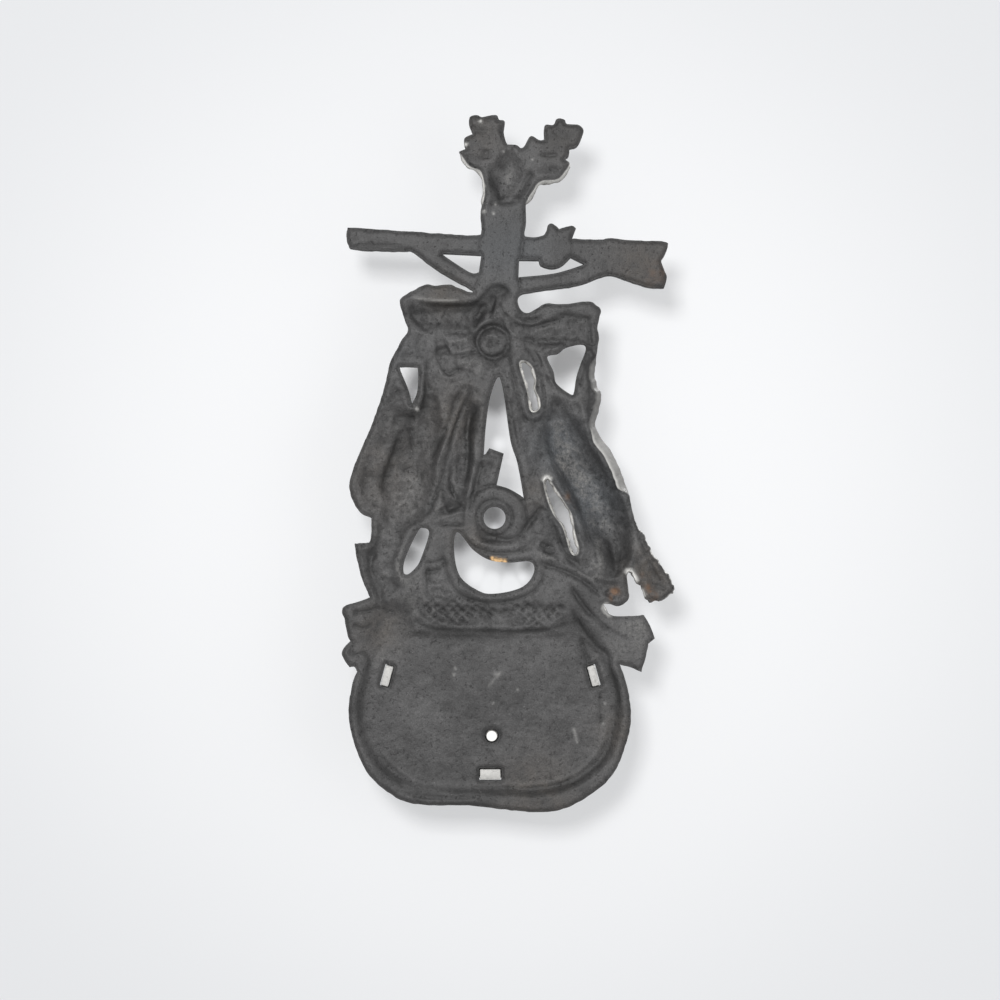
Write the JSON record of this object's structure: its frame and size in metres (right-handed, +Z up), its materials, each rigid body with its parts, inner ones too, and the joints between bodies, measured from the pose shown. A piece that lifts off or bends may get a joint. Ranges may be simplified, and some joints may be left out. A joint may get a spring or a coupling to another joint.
{
  "type": "wall match holder",
  "caption": "Cast iron wall match holder: a pierced back plate in the form of hunting trophies, with a match pouch hooked into slots and held by a screw.",
  "frame": {"origin": "middle of the hanging hole, on the plane of the wall", "axes": "+Z up the wall, +Y into the wall, so the front with the pouch faces -Y"},
  "size_m": [0.1088, 0.0303, 0.2268],
  "materials": {
    "cast_iron": "matte, sand cast, dark grey with a little rust",
    "screw_steel": "dull, filed bright at its end"
  },
  "bodies": {
    "plate": {"back_plate": "cast_iron"},
    "pouch": {"match_pouch": "cast_iron"},
    "screw": {"pouch_screw": "screw_steel"}
  },
  "joints": [
    {"name": "pouch_lift", "type": "slide", "parent": "plate", "child": "pouch", "axis": [0, -1, 0], "range_m": [0, 0.04]},
    {"name": "screw_draw", "type": "slide", "parent": "pouch", "child": "screw", "axis": [0, -1, 0], "range_m": [0, 0.03]}
  ]
}
